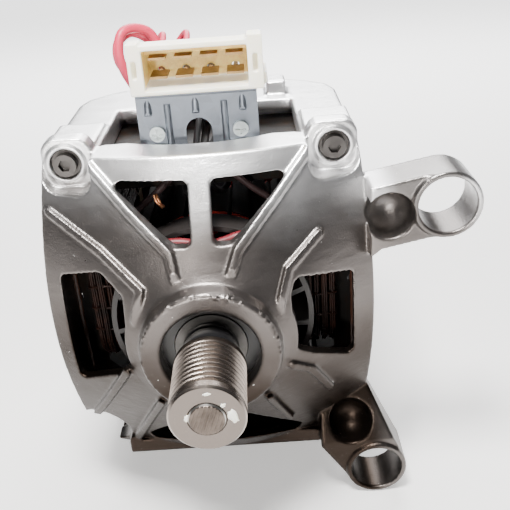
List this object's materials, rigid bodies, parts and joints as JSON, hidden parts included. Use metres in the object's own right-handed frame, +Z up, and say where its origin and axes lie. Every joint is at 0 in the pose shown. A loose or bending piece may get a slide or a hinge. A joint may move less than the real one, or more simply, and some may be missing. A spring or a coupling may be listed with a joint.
{
  "type": "washing machine motor",
  "caption": "Commutator motor of a front-loading washing machine: cast aluminium shields with mounting lugs and ribbed arms, grooved belt pulley, brushes, bearings and a plug on a steel bracket",
  "frame": {"origin": "on the shaft axis, in the middle of the pulley's grooved zone", "axes": "+Y along the shaft from the pulley to the rear end, +Z up towards the plug, +X to the right when the pulley is looked at"},
  "size_m": [0.1513, 0.1993, 0.1778],
  "materials": {
    "cast_aluminium": "satin die-cast surface, sand-like texture",
    "zinc_screws": "zinc-plated, slightly dull",
    "lamination_steel": "dark varnished sheet edges",
    "nylon_natural": "natural cream nylon, slightly translucent",
    "enamelled_copper": "varnished copper wire, dark red-brown",
    "ground_steel": "ground and lightly oiled",
    "pulley_steel": "turned, fine feed marks",
    "bearing_steel": "polished",
    "cage_brass": "stamped sheet",
    "black_rubber": "moulded seal, half gloss",
    "dark_steel": "phosphated",
    "black_plastic": "glass-filled, half gloss",
    "fan_plastic": "grey-brown moulding",
    "red_board": "pressed fibre board",
    "red_winding": "varnished winding head",
    "commutator_copper": "copper, turned",
    "brown_moulding": "phenolic moulding",
    "carbon": "graphite",
    "terminal_brass": "tinned brass sheet",
    "galvanised_sheet": "galvanised, bluish",
    "red_lead": "silicone insulation",
    "black_lead": "silicone insulation"
  },
  "bodies": {
    "housing": {"front_shield": "cast_aluminium", "rear_shield": "cast_aluminium", "upper_screws": "zinc_screws", "lower_screws": "zinc_screws", "screw_washers": "zinc_screws", "stator_core": "lamination_steel", "stator_rivets": "zinc_screws", "pole_insulator_left": "nylon_natural", "pole_insulator_right": "nylon_natural", "field_coil_left": "enamelled_copper", "field_coil_right": "enamelled_copper", "front_bearing_outer_ring": "bearing_steel", "front_bearing_seals": "black_rubber", "front_circlip": "dark_steel", "rear_bearing_outer_ring": "bearing_steel", "rear_bearing_seals": "black_rubber", "wave_washer": "dark_steel", "brush_holder_left": "black_plastic", "brush_holder_right": "black_plastic", "brush_spring_left": "ground_steel", "brush_spring_right": "ground_steel", "brush_terminals": "terminal_brass", "brush_holder_screws": "zinc_screws", "tacho_coil": "nylon_natural", "tacho_cap": "black_plastic", "tacho_clip": "zinc_screws", "plug_bracket": "galvanised_sheet", "plug_bracket_screws": "zinc_screws", "plug_housing": "nylon_natural", "plug_terminals": "terminal_brass", "red_leads": "red_lead", "black_leads": "black_lead"},
    "rotor": {"shaft": "ground_steel", "pulley": "pulley_steel", "spacer_ring": "black_plastic", "front_bearing_inner_ring": "bearing_steel", "rear_bearing_inner_ring": "bearing_steel", "cooling_fan": "fan_plastic", "rotor_core": "lamination_steel", "rotor_end_boards": "red_board", "rotor_winding_front": "red_winding", "rotor_winding_rear": "red_winding", "commutator_bars": "commutator_copper", "commutator_moulding": "brown_moulding", "tacho_magnet": "dark_steel"},
    "front_cage": {"front_bearing_balls": "bearing_steel", "front_bearing_cage": "cage_brass"},
    "rear_cage": {"rear_bearing_balls": "bearing_steel", "rear_bearing_cage": "cage_brass"},
    "left_brush": {"brush_left": "carbon"},
    "right_brush": {"brush_right": "carbon"}
  },
  "joints": [
    {"name": "rotor_spin", "type": "hinge", "parent": "housing", "child": "rotor", "pos_m": [0, 0, 0], "axis": [0, 1, 0], "continuous": true},
    {"name": "front_cage_spin", "type": "hinge", "parent": "housing", "child": "front_cage", "pos_m": [0, 0, 0], "axis": [0, 1, 0], "continuous": true},
    {"name": "rear_cage_spin", "type": "hinge", "parent": "housing", "child": "rear_cage", "pos_m": [0, 0, 0], "axis": [0, 1, 0], "continuous": true},
    {"name": "left_brush_slide", "type": "slide", "parent": "housing", "child": "left_brush", "axis": [-1, 0, 0], "range_m": [0, 0.005], "stiffness_N_per_m": 60, "springref_m": -0.006, "deforming": ["brush_spring_left"]},
    {"name": "right_brush_slide", "type": "slide", "parent": "housing", "child": "right_brush", "axis": [1, 0, 0], "range_m": [0, 0.005], "stiffness_N_per_m": 60, "springref_m": -0.006, "deforming": ["brush_spring_right"]}
  ],
  "couplings": [
    {"joint": "front_cage_spin", "follows": "rotor_spin", "ratio": 0.3806},
    {"joint": "rear_cage_spin", "follows": "rotor_spin", "ratio": 0.3816}
  ]
}
